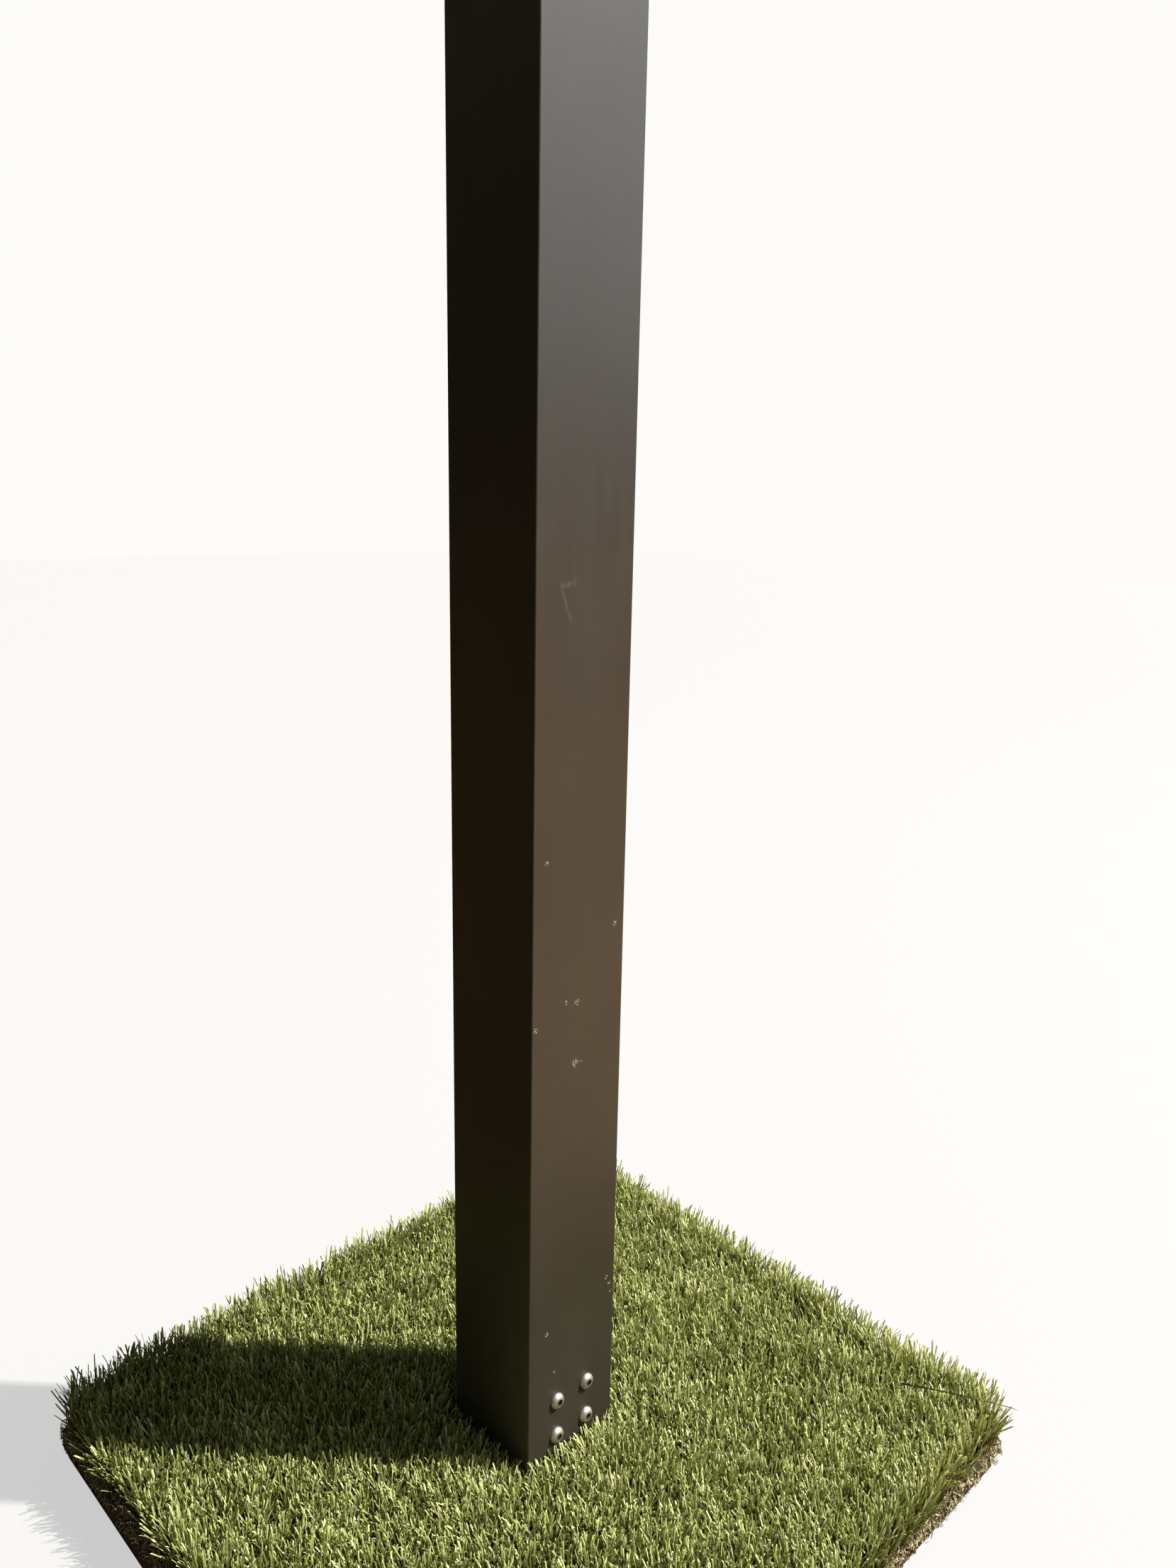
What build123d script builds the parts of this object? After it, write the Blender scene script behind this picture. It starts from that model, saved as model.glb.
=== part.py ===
import os

from build123d import *

os.makedirs("parts", exist_ok=True)

# A free-standing signpost: a square aluminium post, screwed onto a spigot that stands on a steel
# base plate covered in artificial turf, with one sign panel clamped to it near the top.
# Millimetres. The origin is on the ground under the middle of the post, +Z is up, the sign faces -Y.

# Base plate
plate_width = 600  # along X
plate_depth = 630  # along Y
plate_thickness = 12
plate_corner_radius = 20
plate_chamfer = 1

# Rubber feet and their pan-head screws
foot_diameter = 60
foot_height = 8
foot_inset = 60  # from the plate's edges to a foot's centre
foot_chamfer = 1.5
foot_recess_depth = 5.5
foot_screw_diameter = 6
foot_screw_length = 12
foot_head_diameter = 12
foot_head_height = 3.3
foot_head_fillet = 1.2
foot_washer_diameter = 18
foot_washer_thickness = 1.6
foot_driver_width = 1.6
foot_driver_length = 6.5
foot_driver_depth = 1.8
foot_thread_floor = 1.5  # steel left above a foot screw's hole

# Post
post_size = 100
post_wall = 4
post_height = 2374
post_corner_radius = 1.5
post_inner_radius = 0.5

# Spigot that the post slides over, and the plate welded inside its foot
spigot_wall = 5
spigot_height = 160
spigot_corner_radius = 6
spigot_plate_thickness = 12
spigot_weld_leg = 5
spigot_weld_land = 0.5
spigot_weld_angle = 40
base_screw_diameter = 12
base_screw_length = 30
base_screw_head_diameter = 24
base_screw_spacing = 46
base_screw_socket = 8
base_screw_socket_depth = 4.8

# Button-head screws that hold the post to the spigot, and the tapped plates behind them
post_screw_diameter = 8
post_screw_length = 20
post_screw_head_diameter = 14
post_screw_head_height = 4.4
post_screw_rim_height = 0.5
post_screw_crown_diameter = 7.4
post_screw_dome_rise = 0.8
post_screw_socket = 5
post_screw_socket_depth = 2.9
post_screw_tip_chamfer = 1
post_screw_spacing = 35
post_screw_turf_gap = 3.2  # from the tips of the turf up to the lower heads
nut_plate_size = 60
nut_plate_thickness = 8
nut_plate_corner_radius = 3

# Artificial turf
tape_width = 50
tape_thickness = 1
tape_gap = 1  # between the ends of the strips
turf_overhang = 4  # past the plate's edges
turf_backing_thickness = 3
turf_thatch_height = 14
turf_pile_height = 38  # blade tips above the backing
turf_lean = 20  # how far the blades at the edges lean outwards
turf_post_gap = 2

# Post cap, with the nylon plug that holds it
cap_thickness = 6
cap_chamfer = 1.5
plug_thickness = 8
plug_skirt_depth = 22
plug_skirt_wall = 3
cap_screw_diameter = 5
cap_screw_length = 16
cap_screw_head_diameter = 10
cap_screw_spacing = 60
cap_screw_socket = 3
cap_screw_socket_depth = 2

# Sign panel and the film on it
sign_width = 450
sign_height = 600
sign_thickness = 3
sign_corner_radius = 30
sign_drop = 50  # from the top of the post to the top of the panel
film_thickness = 0.3
graphic_thickness = 0.2
border_inset = 14
border_width = 9
arrow_length = 250
arrow_shaft_width = 44
arrow_head_length = 110
arrow_head_width = 150

# Rails behind the panel
rail_length = 400
rail_height = 40
rail_wall = 2.5
rail_spacing = 360
end_cap_thickness = 2
end_cap_tongue_length = 8
rivet_diameter = 4.8
rivet_head_diameter = 9.5
rivet_head_height = 1.6
rivet_tail_diameter = 6.6
rivet_tail_length = 3
rivet_tail_bevel = 0.7
rivet_offsets = (60, 180)  # from the middle of a rail, both ways

# Clamps that hold the rails against the post
clamp_thickness = 4
clamp_height = 30
clamp_flange_length = 38
clamp_bend_radius = 5
clamp_bolt_margin = 20  # from a clamp's leg to the bolt
clamp_bolt_diameter = 8
clamp_bolt_length = 25
clamp_bolt_head_flats = 13
clamp_bolt_head_height = 5.3
clamp_washer_diameter = 16
clamp_washer_thickness = 1.6
clamp_nut_height = 6.5

# Clearances
slip_clearance = 1  # post over spigot, each side
plug_clearance = 0.2  # cap plug in post, each side
clamp_clearance = 0.3  # clamp around post, each side
thread_clearance = 0.1  # thread in a tapped hole, on the radius
hole_clearance = 0.5  # screw in a plain hole, on the radius
head_clearance = 0.5  # screw head or washer in a recess, on the radius
weld_clearance = 0.1  # between pieces that are welded together
tongue_clearance = 0.15  # end cap tongues in the rail's chambers
track_clearance = 0.3  # bolt head's flats in the rail's track, each side
track_play = 1.7  # room behind the bolt's head in the track

# Levels and places that follow from them
plate_bottom = foot_height
plate_top = plate_bottom + plate_thickness
turf_bottom = plate_top + tape_thickness
thatch_bottom = turf_bottom + turf_backing_thickness
thatch_top = thatch_bottom + turf_thatch_height
pile_top = thatch_bottom + turf_pile_height
post_top = plate_top + post_height
screw_level = (
    pile_top + post_screw_turf_gap + (post_screw_head_diameter + post_screw_spacing) / 2
)
sign_level = post_top - sign_drop - sign_height / 2

foot_span_x = plate_width - 2 * foot_inset
foot_span_y = plate_depth - 2 * foot_inset
post_bore = post_size - 2 * post_wall
spigot_size = post_bore - 2 * slip_clearance
spigot_bore = spigot_size - 2 * spigot_wall
spigot_bore_radius = spigot_corner_radius - spigot_wall
spigot_plate_bottom = plate_top + spigot_weld_leg
turf_width = plate_width + 2 * turf_overhang
turf_depth = plate_depth + 2 * turf_overhang
turf_corner_radius = plate_corner_radius + turf_overhang
turf_opening = post_size + 2 * turf_post_gap

track_width = clamp_bolt_head_flats + 2 * track_clearance
track_slot_width = clamp_bolt_diameter + 2 * hole_clearance
rail_inner_depth = clamp_bolt_head_height + track_play
rail_depth = rail_inner_depth + 2 * rail_wall
post_front = -post_size / 2
rail_front = post_front - rail_depth
sign_front = rail_front - sign_thickness
film_front = sign_front - film_thickness
graphic_front = film_front - graphic_thickness
rail_levels = (sign_level - rail_spacing / 2, sign_level + rail_spacing / 2)
chamber_height = (rail_height - track_width) / 2 - 2 * rail_wall
chamber_offset = (rail_height - chamber_height) / 2 - rail_wall
clamp_inner = post_size / 2 + clamp_clearance
clamp_outer = clamp_inner + clamp_thickness
clamp_bolt_offset = clamp_outer + clamp_bolt_margin
clamp_bolt_places = [
    (side * clamp_bolt_offset, level) for side in (-1, 1) for level in rail_levels
]


def rivet_row(level):
    # The rivets of one rail, which go through its upper chamber.
    return [
        (side * offset, level + chamber_offset) for side in (-1, 1) for offset in rivet_offsets
    ]


def countersunk_screw(diameter, length, head_diameter, socket, socket_depth):
    # The head's flat top is at Z = 0 and the shank points down.
    head_height = (head_diameter - diameter) / 2
    tip_chamfer = 0.1 * diameter
    with BuildPart() as screw:
        with BuildSketch(Plane.XZ):
            with BuildLine():
                Polyline(
                    (0, 0),
                    (head_diameter / 2, 0),
                    (diameter / 2, -head_height),
                    (diameter / 2, -length),
                    (0, -length),
                    close=True,
                )
            make_face()
        revolve(axis=Axis.Z)
        with BuildSketch():
            RegularPolygon(socket / 2, 6, major_radius=False)
        extrude(amount=-socket_depth, mode=Mode.SUBTRACT)
        chamfer(screw.edges().sort_by(Axis.Z)[0], tip_chamfer)
    return screw.part


def washer(outer_diameter, inner_radius, thickness):
    # The washer lies on Z = 0.
    with BuildPart() as ring:
        Cylinder(outer_diameter / 2, thickness, align=(Align.CENTER, Align.CENTER, Align.MIN))
        Hole(inner_radius)
    return ring.part


rivet_places = rivet_row(rail_levels[0]) + rivet_row(rail_levels[1])

# Base plate: holes for the feet and the spigot are opened from below
with BuildPart() as base_plate:
    with BuildSketch(Plane.XY.offset(plate_bottom)):
        RectangleRounded(plate_width, plate_depth, plate_corner_radius)
    extrude(amount=plate_thickness)
    chamfer(base_plate.faces().sort_by(Axis.Z)[0].edges(), plate_chamfer)
    underside = Plane((0, 0, plate_bottom), x_dir=(1, 0, 0), z_dir=(0, 0, -1))
    with Locations(underside):
        with GridLocations(base_screw_spacing, base_screw_spacing, 2, 2):
            CounterSinkHole(
                base_screw_diameter / 2 + hole_clearance,
                base_screw_head_diameter / 2 + head_clearance,
                counter_sink_angle=90,
            )
        with GridLocations(foot_span_x, foot_span_y, 2, 2):
            Hole(
                foot_screw_diameter / 2 + thread_clearance,
                depth=plate_thickness - foot_thread_floor,
            )
base_plate.part.label = "base_plate"
export_step(base_plate.part, "parts/base_plate.step")

# Four rubber feet, each recessed for a washer and a screw head
with BuildPart() as rubber_feet:
    with GridLocations(foot_span_x, foot_span_y, 2, 2):
        Cylinder(foot_diameter / 2, foot_height, align=(Align.CENTER, Align.CENTER, Align.MIN))
    chamfer(rubber_feet.edges().group_by(Axis.Z)[0], foot_chamfer)
    with GridLocations(foot_span_x, foot_span_y, 2, 2):
        Hole(foot_screw_diameter / 2 + hole_clearance)
        Hole(foot_washer_diameter / 2 + head_clearance, depth=foot_recess_depth)
rubber_feet.part.label = "rubber_feet"
export_step(rubber_feet.part, "parts/rubber_feet.step")

foot_washer = washer(
    foot_washer_diameter, foot_screw_diameter / 2 + hole_clearance, foot_washer_thickness
)
foot_washer_bottom = foot_recess_depth - foot_washer_thickness
with BuildPart(Plane.XY.offset(foot_washer_bottom)) as foot_washers:
    with GridLocations(foot_span_x, foot_span_y, 2, 2):
        add(foot_washer)
foot_washers.part.label = "foot_washers"
export_step(foot_washers.part, "parts/foot_washers.step")

# Pan-head screws, driven upwards through the feet into the plate. A head's top is at Z = 0 here.
with BuildPart() as foot_screw:
    Cylinder(
        foot_head_diameter / 2, foot_head_height, align=(Align.CENTER, Align.CENTER, Align.MIN)
    )
    fillet(foot_screw.edges().group_by(Axis.Z)[0], foot_head_fillet)
    Cylinder(
        foot_screw_diameter / 2,
        foot_head_height + foot_screw_length,
        align=(Align.CENTER, Align.CENTER, Align.MIN),
    )
    with BuildSketch():
        Rectangle(foot_driver_length, foot_driver_width)
        Rectangle(foot_driver_width, foot_driver_length)
    extrude(amount=foot_driver_depth, mode=Mode.SUBTRACT)
with BuildPart(Plane.XY.offset(foot_washer_bottom - foot_head_height)) as foot_screws:
    with GridLocations(foot_span_x, foot_span_y, 2, 2):
        add(foot_screw.part)
foot_screws.part.label = "foot_screws"
export_step(foot_screws.part, "parts/foot_screws.step")

# Spigot: a square tube that stands on the plate, inside the post
with BuildPart() as spigot_tube:
    with BuildSketch(Plane.XY.offset(plate_top)):
        RectangleRounded(spigot_size, spigot_size, spigot_corner_radius)
        RectangleRounded(spigot_bore, spigot_bore, spigot_bore_radius, mode=Mode.SUBTRACT)
    extrude(amount=spigot_height)
    with Locations(Plane.YZ):
        with Locations((0, screw_level)):
            with GridLocations(post_screw_spacing, post_screw_spacing, 2, 2):
                Hole(post_screw_diameter / 2 + hole_clearance)
spigot_tube.part.label = "spigot_tube"
export_step(spigot_tube.part, "parts/spigot_tube.step")

# Plate inside the spigot's foot, tapped for the screws that come up through the base plate
spigot_plate_size = spigot_bore - 2 * weld_clearance
with BuildPart() as spigot_plate:
    with BuildSketch(Plane.XY.offset(spigot_plate_bottom)):
        RectangleRounded(spigot_plate_size, spigot_plate_size, spigot_bore_radius)
    extrude(amount=spigot_plate_thickness)
    with Locations((0, 0, spigot_plate_bottom)):
        with GridLocations(base_screw_spacing, base_screw_spacing, 2, 2):
            Hole(base_screw_diameter / 2 + thread_clearance)
spigot_plate.part.label = "spigot_plate"
export_step(spigot_plate.part, "parts/spigot_plate.step")

# Weld bead between the spigot and its plate, in the recess under the plate
weld_mouth = spigot_plate_size - 2 * spigot_weld_land
with BuildPart() as spigot_weld:
    with BuildSketch(Plane.XY.offset(plate_top)):
        RectangleRounded(spigot_plate_size, spigot_plate_size, spigot_bore_radius)
    extrude(amount=spigot_weld_leg)
    with BuildSketch(Plane.XY.offset(plate_top)):
        Rectangle(weld_mouth, weld_mouth)
    extrude(amount=spigot_weld_leg, taper=spigot_weld_angle, mode=Mode.SUBTRACT)
spigot_weld.part.label = "spigot_weld"
export_step(spigot_weld.part, "parts/spigot_weld.step")

base_screw = countersunk_screw(
    base_screw_diameter,
    base_screw_length,
    base_screw_head_diameter,
    base_screw_socket,
    base_screw_socket_depth,
)
with BuildPart(underside) as base_screws:
    with GridLocations(base_screw_spacing, base_screw_spacing, 2, 2):
        add(base_screw)
base_screws.part.label = "base_screws"
export_step(base_screws.part, "parts/base_screws.step")

# Post: one square extrusion, drilled through both side faces
with BuildPart() as post:
    with BuildSketch(Plane.XY.offset(plate_top)):
        RectangleRounded(post_size, post_size, post_corner_radius)
        RectangleRounded(post_bore, post_bore, post_inner_radius, mode=Mode.SUBTRACT)
    extrude(amount=post_height)
    with Locations(Plane.YZ):
        with Locations((0, screw_level)):
            with GridLocations(post_screw_spacing, post_screw_spacing, 2, 2):
                Hole(post_screw_diameter / 2 + hole_clearance)
post.part.label = "post"
export_step(post.part, "parts/post.step")

# Button-head screw: its seat is at Z = 0 and its shank points down
shank_radius = post_screw_diameter / 2
with BuildPart() as button_screw:
    with BuildSketch(Plane.XZ):
        with BuildLine():
            crown = (post_screw_crown_diameter / 2, post_screw_head_height)
            rim = (post_screw_head_diameter / 2, post_screw_rim_height)
            Polyline((0, post_screw_head_height), crown)
            SagittaArc(crown, rim, post_screw_dome_rise)
            Polyline(
                rim,
                (post_screw_head_diameter / 2, 0),
                (shank_radius, 0),
                (shank_radius, post_screw_tip_chamfer - post_screw_length),
                (shank_radius - post_screw_tip_chamfer, -post_screw_length),
                (0, -post_screw_length),
                (0, post_screw_head_height),
            )
        make_face()
    revolve(axis=Axis.Z)
    with BuildSketch(Plane.XY.offset(post_screw_head_height)):
        RegularPolygon(post_screw_socket / 2, 6, major_radius=False)
    extrude(amount=-post_screw_socket_depth, mode=Mode.SUBTRACT)

# On each side: four screws, and the tapped plate that they draw against the spigot's wall
for side_name, side in (("right", 1), ("left", -1)):
    post_side = Plane((side * post_size / 2, 0, screw_level), x_dir=(0, side, 0), z_dir=(side, 0, 0))
    with BuildPart(post_side) as post_screws:
        with GridLocations(post_screw_spacing, post_screw_spacing, 2, 2):
            add(button_screw.part)
    post_screws.part.label = f"post_screws_{side_name}"
    export_step(post_screws.part, f"parts/post_screws_{side_name}.step")

    nut_plate_face = spigot_bore / 2 - weld_clearance
    plate_side = Plane((side * nut_plate_face, 0, screw_level), x_dir=(0, side, 0), z_dir=(side, 0, 0))
    with BuildPart() as nut_plate:
        with BuildSketch(plate_side):
            RectangleRounded(nut_plate_size, nut_plate_size, nut_plate_corner_radius)
        extrude(amount=-nut_plate_thickness)
        with Locations(plate_side):
            with GridLocations(post_screw_spacing, post_screw_spacing, 2, 2):
                Hole(post_screw_diameter / 2 + thread_clearance)
    nut_plate.part.label = f"nut_plate_{side_name}"
    export_step(nut_plate.part, f"parts/nut_plate_{side_name}.step")

# Double-sided tape: a frame of four strips that holds the turf to the plate
tape_run_y = plate_depth / 2 - plate_corner_radius - tape_width / 2
tape_run_x = plate_width / 2 - plate_corner_radius - tape_width / 2
with BuildPart() as turf_tape:
    with BuildSketch(Plane.XY.offset(plate_top)):
        with GridLocations(0, 2 * tape_run_y, 1, 2):
            Rectangle(2 * tape_run_x + tape_width, tape_width)
        with GridLocations(2 * tape_run_x, 0, 2, 1):
            Rectangle(tape_width, 2 * (tape_run_y - tape_gap) - tape_width)
    extrude(amount=tape_thickness)
turf_tape.part.label = "turf_tape"
export_step(turf_tape.part, "parts/turf_tape.step")

# Turf: the woven backing, the curled thatch on it and the layer of upright blades
with BuildPart() as turf_backing:
    with BuildSketch(Plane.XY.offset(turf_bottom)):
        RectangleRounded(turf_width, turf_depth, turf_corner_radius)
        Rectangle(turf_opening, turf_opening, mode=Mode.SUBTRACT)
    extrude(amount=turf_backing_thickness)
turf_backing.part.label = "turf_backing"
export_step(turf_backing.part, "parts/turf_backing.step")

with BuildPart() as turf_thatch:
    with BuildSketch(Plane.XY.offset(thatch_bottom)):
        RectangleRounded(turf_width, turf_depth, turf_corner_radius)
        Rectangle(turf_opening, turf_opening, mode=Mode.SUBTRACT)
    extrude(amount=turf_thatch_height)
turf_thatch.part.label = "turf_thatch"
export_step(turf_thatch.part, "parts/turf_thatch.step")

with BuildPart() as turf_blades:
    with BuildSketch(Plane.XY.offset(thatch_top)):
        RectangleRounded(turf_width, turf_depth, turf_corner_radius)
    with BuildSketch(Plane.XY.offset(pile_top)):
        RectangleRounded(
            turf_width + 2 * turf_lean, turf_depth + 2 * turf_lean, turf_corner_radius + turf_lean
        )
    loft()
    with BuildSketch(Plane.XY.offset(thatch_top)):
        Rectangle(turf_opening, turf_opening)
    extrude(amount=pile_top - thatch_top, mode=Mode.SUBTRACT)
turf_blades.part.label = "turf_blades"
export_step(turf_blades.part, "parts/turf_blades.step")

# Cap on the post, and the plug under it that fits inside the post
with BuildPart() as post_cap:
    with BuildSketch(Plane.XY.offset(post_top)):
        RectangleRounded(post_size, post_size, post_corner_radius)
    extrude(amount=cap_thickness)
    chamfer(post_cap.faces().sort_by(Axis.Z)[-1].edges(), cap_chamfer)
    with Locations((0, 0, post_top + cap_thickness)):
        with GridLocations(cap_screw_spacing, cap_screw_spacing, 2, 2):
            CounterSinkHole(
                cap_screw_diameter / 2 + hole_clearance,
                cap_screw_head_diameter / 2 + head_clearance,
                counter_sink_angle=90,
            )
post_cap.part.label = "post_cap"
export_step(post_cap.part, "parts/post_cap.step")

plug_size = post_bore - 2 * plug_clearance
with BuildPart() as cap_plug:
    with BuildSketch(Plane.XY.offset(post_top)):
        RectangleRounded(plug_size, plug_size, post_inner_radius + plug_clearance)
    extrude(amount=-plug_skirt_depth)
    with BuildSketch(Plane.XY.offset(post_top - plug_thickness)):
        Rectangle(plug_size - 2 * plug_skirt_wall, plug_size - 2 * plug_skirt_wall)
    extrude(amount=plug_thickness - plug_skirt_depth, mode=Mode.SUBTRACT)
    with Locations((0, 0, post_top)):
        with GridLocations(cap_screw_spacing, cap_screw_spacing, 2, 2):
            Hole(cap_screw_diameter / 2 + thread_clearance)
cap_plug.part.label = "cap_plug"
export_step(cap_plug.part, "parts/cap_plug.step")

cap_screw = countersunk_screw(
    cap_screw_diameter,
    cap_screw_length,
    cap_screw_head_diameter,
    cap_screw_socket,
    cap_screw_socket_depth,
)
with BuildPart(Plane.XY.offset(post_top + cap_thickness)) as cap_screws:
    with GridLocations(cap_screw_spacing, cap_screw_spacing, 2, 2):
        add(cap_screw)
cap_screws.part.label = "cap_screws"
export_step(cap_screws.part, "parts/cap_screws.step")

# Planes that look at the sign from the front: local x is +X and local y is +Z
sign_back_plane = Plane((0, rail_front, sign_level), x_dir=(1, 0, 0), z_dir=(0, -1, 0))
sign_front_plane = Plane((0, sign_front, sign_level), x_dir=(1, 0, 0), z_dir=(0, -1, 0))
film_front_plane = Plane((0, film_front, sign_level), x_dir=(1, 0, 0), z_dir=(0, -1, 0))
rail_front_plane = Plane((0, rail_front, 0), x_dir=(1, 0, 0), z_dir=(0, -1, 0))
rivet_hole_radius = rivet_diameter / 2 + thread_clearance

with BuildPart() as sign_panel:
    with BuildSketch(sign_back_plane):
        RectangleRounded(sign_width, sign_height, sign_corner_radius)
    extrude(amount=sign_thickness)
    with Locations(rail_front_plane):
        with Locations(*rivet_places):
            Hole(rivet_hole_radius, depth=sign_thickness)
sign_panel.part.label = "sign_panel"
export_step(sign_panel.part, "parts/sign_panel.step")

with BuildPart() as sign_film:
    with BuildSketch(sign_front_plane):
        RectangleRounded(sign_width, sign_height, sign_corner_radius)
    extrude(amount=film_thickness)
    with Locations(rail_front_plane):
        with Locations(*rivet_places):
            Hole(rivet_hole_radius, depth=sign_thickness + film_thickness)
sign_film.part.label = "sign_film"
export_step(sign_film.part, "parts/sign_film.step")

# Cut vinyl on the film: a border line and an arrow
border_outer_radius = sign_corner_radius - border_inset
with BuildPart() as sign_graphic:
    with BuildSketch(film_front_plane):
        RectangleRounded(
            sign_width - 2 * border_inset, sign_height - 2 * border_inset, border_outer_radius
        )
        RectangleRounded(
            sign_width - 2 * (border_inset + border_width),
            sign_height - 2 * (border_inset + border_width),
            border_outer_radius - border_width,
            mode=Mode.SUBTRACT,
        )
        with BuildLine():
            neck = arrow_length / 2 - arrow_head_length
            Polyline(
                (-arrow_length / 2, -arrow_shaft_width / 2),
                (neck, -arrow_shaft_width / 2),
                (neck, -arrow_head_width / 2),
                (arrow_length / 2, 0),
                (neck, arrow_head_width / 2),
                (neck, arrow_shaft_width / 2),
                (-arrow_length / 2, arrow_shaft_width / 2),
                close=True,
            )
        make_face()
    extrude(amount=graphic_thickness)
sign_graphic.part.label = "sign_graphic"
export_step(sign_graphic.part, "parts/sign_graphic.step")

# Rails: hollow extrusions with a bolt track that opens towards the post
for rail_name, level in zip(("lower", "upper"), rail_levels):
    with BuildPart() as rail:
        with BuildSketch(Plane((-rail_length / 2, 0, 0), x_dir=(0, 1, 0), z_dir=(1, 0, 0))):
            middle = (post_front - rail_depth / 2, level)
            with Locations(middle):
                Rectangle(rail_depth, rail_height)
                Rectangle(rail_inner_depth, track_width, mode=Mode.SUBTRACT)
                with GridLocations(0, 2 * chamber_offset, 1, 2):
                    Rectangle(rail_inner_depth, chamber_height, mode=Mode.SUBTRACT)
            with Locations((post_front - rail_wall / 2, level)):
                Rectangle(rail_wall, track_slot_width, mode=Mode.SUBTRACT)
        extrude(amount=rail_length)
        with Locations(rail_front_plane):
            with Locations(*rivet_row(level)):
                Hole(rivet_hole_radius, depth=rail_wall)
    rail.part.label = f"{rail_name}_rail"
    export_step(rail.part, f"parts/{rail_name}_rail.step")

# Plastic caps that close the rails' ends
tongue_depth = rail_inner_depth - 2 * tongue_clearance
tongue_height = chamber_height - 2 * tongue_clearance
with BuildPart() as rail_end_caps:
    for side in (-1, 1):
        rail_end = Plane((side * rail_length / 2, 0, 0), x_dir=(0, 1, 0), z_dir=(1, 0, 0))
        for level in rail_levels:
            with BuildSketch(rail_end):
                with Locations((post_front - rail_depth / 2, level)):
                    Rectangle(rail_depth, rail_height)
            extrude(amount=side * end_cap_thickness)
            with BuildSketch(rail_end):
                with Locations((post_front - rail_depth / 2, level)):
                    with GridLocations(0, 2 * chamber_offset, 1, 2):
                        Rectangle(tongue_depth, tongue_height)
            extrude(amount=-side * end_cap_tongue_length)
rail_end_caps.part.label = "rail_end_caps"
export_step(rail_end_caps.part, "parts/rail_end_caps.step")

# Blind rivets: a domed head on the film, a shank through panel and rail, a formed tail
rivet_shank_end = -(sign_thickness + film_thickness + rail_wall)
rivet_tail_end = rivet_shank_end - rivet_tail_length
rivet_head_radius = rivet_head_diameter / 2
rivet_tail_radius = rivet_tail_diameter / 2
with BuildPart() as rivet:
    with BuildSketch(Plane.XZ):
        with BuildLine():
            Polyline(
                (rivet_head_radius, 0),
                (rivet_diameter / 2, 0),
                (rivet_diameter / 2, rivet_shank_end),
                (rivet_tail_radius, rivet_shank_end),
                (rivet_tail_radius, rivet_tail_end + rivet_tail_bevel),
                (rivet_tail_radius - rivet_tail_bevel, rivet_tail_end),
                (0, rivet_tail_end),
                (0, rivet_head_height),
            )
            TangentArc((0, rivet_head_height), (rivet_head_radius, 0), tangent=(1, 0))
        make_face()
    revolve(axis=Axis.Z)
rivet_seats = Plane((0, film_front, 0), x_dir=(1, 0, 0), z_dir=(0, -1, 0))
with BuildPart(rivet_seats) as panel_rivets:
    with Locations(*rivet_places):
        add(rivet.part)
panel_rivets.part.label = "panel_rivets"
export_step(panel_rivets.part, "parts/panel_rivets.step")

# Clamps: a flat bar bent round the post, with a flange on each side bolted to the rail
leg_middle = clamp_inner + clamp_thickness / 2
flange_middle = post_front + clamp_thickness / 2
flange_end = clamp_outer + clamp_flange_length
for clamp_name, level in zip(("lower", "upper"), rail_levels):
    with BuildPart() as clamp:
        with BuildSketch(Plane.XY.offset(level - clamp_height / 2)):
            with BuildLine():
                FilletPolyline(
                    (-flange_end, flange_middle),
                    (-leg_middle, flange_middle),
                    (-leg_middle, leg_middle),
                    (leg_middle, leg_middle),
                    (leg_middle, flange_middle),
                    (flange_end, flange_middle),
                    radius=clamp_bend_radius - clamp_thickness / 2,
                )
            trace(line_width=clamp_thickness)
        extrude(amount=clamp_height)
        with Locations(Plane((0, post_front, level), x_dir=(1, 0, 0), z_dir=(0, -1, 0))):
            with GridLocations(2 * clamp_bolt_offset, 0, 2, 1):
                Hole(clamp_bolt_diameter / 2 + hole_clearance, depth=clamp_thickness)
    clamp.part.label = f"{clamp_name}_clamp"
    export_step(clamp.part, f"parts/{clamp_name}_clamp.step")

# Clamp bolts: hex heads held in the rails' tracks, washers and nuts behind the flanges
flange_back = post_front + clamp_thickness
bolt_head_seats = Plane((0, post_front - rail_wall, 0), x_dir=(-1, 0, 0), z_dir=(0, 1, 0))
with BuildPart() as clamp_bolts:
    with BuildSketch(bolt_head_seats):
        with Locations(*clamp_bolt_places):
            RegularPolygon(clamp_bolt_head_flats / 2, 6, major_radius=False)
    extrude(amount=-clamp_bolt_head_height)
    with BuildSketch(bolt_head_seats):
        with Locations(*clamp_bolt_places):
            Circle(clamp_bolt_diameter / 2)
    extrude(amount=clamp_bolt_length)
clamp_bolts.part.label = "clamp_bolts"
export_step(clamp_bolts.part, "parts/clamp_bolts.step")

clamp_washer = washer(
    clamp_washer_diameter, clamp_bolt_diameter / 2 + hole_clearance, clamp_washer_thickness
)
with BuildPart(Plane((0, flange_back, 0), x_dir=(-1, 0, 0), z_dir=(0, 1, 0))) as clamp_washers:
    with Locations(*clamp_bolt_places):
        add(clamp_washer)
clamp_washers.part.label = "clamp_washers"
export_step(clamp_washers.part, "parts/clamp_washers.step")

nut_seats = Plane(
    (0, flange_back + clamp_washer_thickness, 0), x_dir=(-1, 0, 0), z_dir=(0, 1, 0)
)
with BuildPart() as clamp_nuts:
    with BuildSketch(nut_seats):
        with Locations(*clamp_bolt_places):
            RegularPolygon(clamp_bolt_head_flats / 2, 6, major_radius=False, rotation=30)
            Circle(clamp_bolt_diameter / 2 + thread_clearance, mode=Mode.SUBTRACT)
    extrude(amount=clamp_nut_height)
clamp_nuts.part.label = "clamp_nuts"
export_step(clamp_nuts.part, "parts/clamp_nuts.step")
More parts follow.
